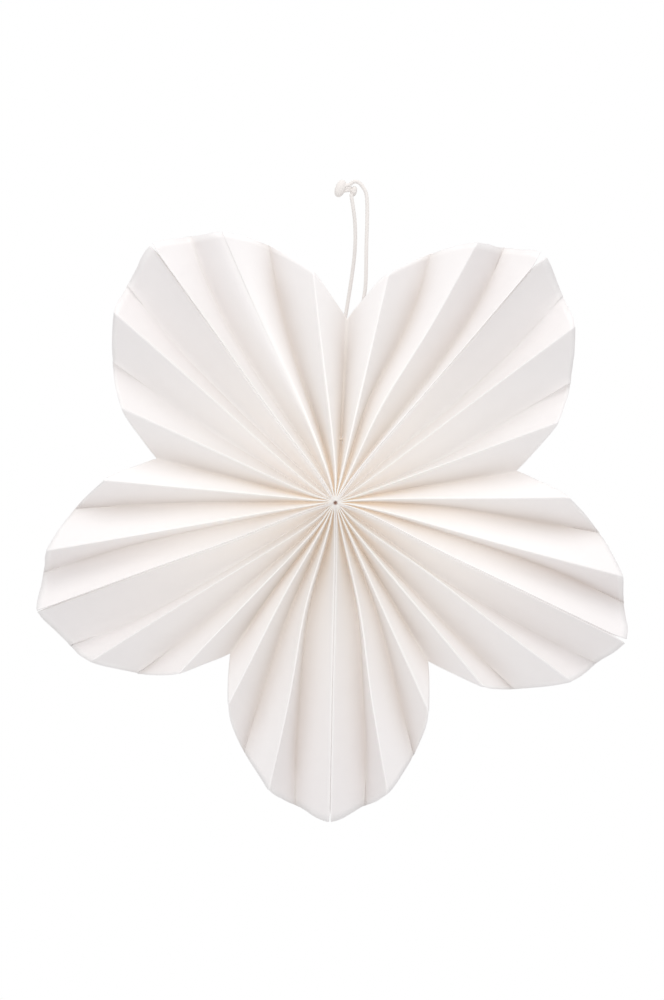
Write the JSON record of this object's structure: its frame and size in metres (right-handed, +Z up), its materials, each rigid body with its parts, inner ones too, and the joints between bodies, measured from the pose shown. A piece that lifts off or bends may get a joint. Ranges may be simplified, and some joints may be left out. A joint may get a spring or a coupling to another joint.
{
  "type": "pleated paper flower decoration",
  "caption": "Flat round flower of folded white paper fans with petal-shaped edges, hung by a knotted cord loop from the notch between two petals.",
  "frame": {"origin": "inside the top of the cord loop, where a hook or nail holds it; the flower's centre lies 150.7 mm below", "axes": "+Z up, the front of the flower faces -Y, +X to the right seen from the front"},
  "size_m": [0.2774, 0.0252, 0.3023],
  "materials": {
    "paper": "matt uncoated white craft paper with crisp folds and cut edges",
    "cord": "soft off-white cotton cord"
  },
  "bodies": {
    "root": {"top_sheet": "paper", "right_sheet": "paper", "lower_right_sheet": "paper", "lower_left_sheet": "paper", "left_sheet": "paper", "hanging_cord": "cord", "cord_knot": "cord"}
  },
  "joints": []
}
